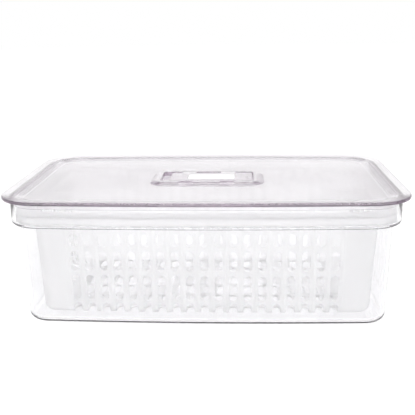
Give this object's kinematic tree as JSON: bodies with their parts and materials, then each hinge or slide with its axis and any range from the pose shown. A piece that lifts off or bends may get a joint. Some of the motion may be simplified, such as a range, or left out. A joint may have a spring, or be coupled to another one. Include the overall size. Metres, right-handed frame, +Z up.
{
  "type": "fridge bin",
  "caption": "Clear fridge food bin with a slotted lift-out strainer basket, a lift-off lid and a sliding air vent with a blank label in the lid.",
  "frame": {"origin": "middle of the flat underside of the outer bin, at the height of the surface it stands on", "axes": "+X along the bin's length, -Y towards its front long side, +Z up through the lid"},
  "size_m": [0.32, 0.195, 0.104],
  "materials": {
    "clear_bin": "clear glossy moulded plastic, colourless",
    "frosted_basket": "frosted translucent moulded plastic, greyish white",
    "clear_lid": "clear glossy moulded plastic with a faint violet tint that is dark at its edges",
    "clear_slide": "clear glossy moulded plastic with a faint violet tint",
    "white_label": "plain white satin film, blank"
  },
  "bodies": {
    "bin": {"outer_bin": "clear_bin"},
    "basket": {"strainer_basket": "frosted_basket"},
    "lid": {"lid": "clear_lid"},
    "vent": {"vent_slide": "clear_slide", "blank_label": "white_label"}
  },
  "joints": [
    {"name": "basket_lift", "type": "slide", "parent": "bin", "child": "basket", "axis": [0, 0, 1], "range_m": [0, 0.12]},
    {"name": "lid_lift", "type": "slide", "parent": "basket", "child": "lid", "axis": [0, 0, 1], "range_m": [0, 0.12]},
    {"name": "vent_slide", "type": "slide", "parent": "lid", "child": "vent", "axis": [-1, 0, 0], "range_m": [0, 0.0065]}
  ]
}
